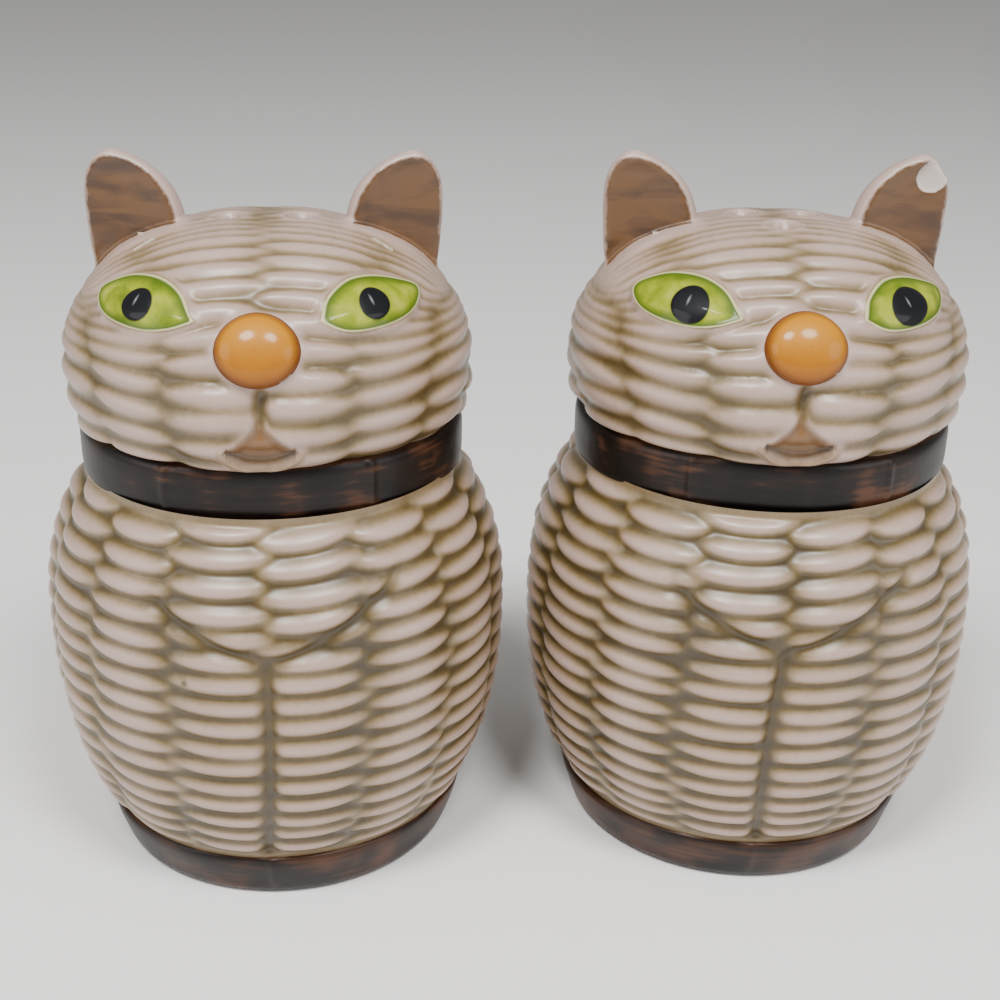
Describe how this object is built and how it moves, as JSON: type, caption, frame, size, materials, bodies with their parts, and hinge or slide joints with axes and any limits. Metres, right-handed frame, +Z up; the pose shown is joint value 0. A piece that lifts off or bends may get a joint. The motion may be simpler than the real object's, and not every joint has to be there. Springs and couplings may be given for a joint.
{
  "type": "salt and pepper shaker pair",
  "caption": "Pair of glazed ceramic sitting-cat shakers with basket-weave relief, dark collars, pour holes in the crown and soft stoppers in the base.",
  "frame": {"origin": "on the table, under the centre of the pair's bounding box", "axes": "+Z up, the cats face -Y, +X along the pair from the pepper shaker to the salt shaker"},
  "size_m": [0.134, 0.071, 0.1001],
  "materials": {
    "salt_glaze": "glossy ivory glaze over olive-tinted grooves, with dark brown painted collar and base band",
    "pepper_glaze": "glossy ivory glaze over olive-tinted grooves, with dark brown painted collar and base band",
    "stopper_rubber": "matte off-white"
  },
  "bodies": {
    "salt_shaker": {"salt_shaker_body": "salt_glaze"},
    "salt_stopper": {"salt_stopper": "stopper_rubber"},
    "pepper_shaker": {"pepper_shaker_body": "pepper_glaze"},
    "pepper_stopper": {"pepper_stopper": "stopper_rubber"}
  },
  "joints": [
    {"name": "pepper_lift", "type": "slide", "parent": "salt_shaker", "child": "pepper_shaker", "axis": [0, 0, 1], "range_m": [0, 0.15]},
    {"name": "salt_stopper_pull", "type": "slide", "parent": "salt_shaker", "child": "salt_stopper", "axis": [0, 0, -1], "range_m": [0, 0.03]},
    {"name": "pepper_stopper_pull", "type": "slide", "parent": "pepper_shaker", "child": "pepper_stopper", "axis": [0, 0, -1], "range_m": [0, 0.03]}
  ]
}
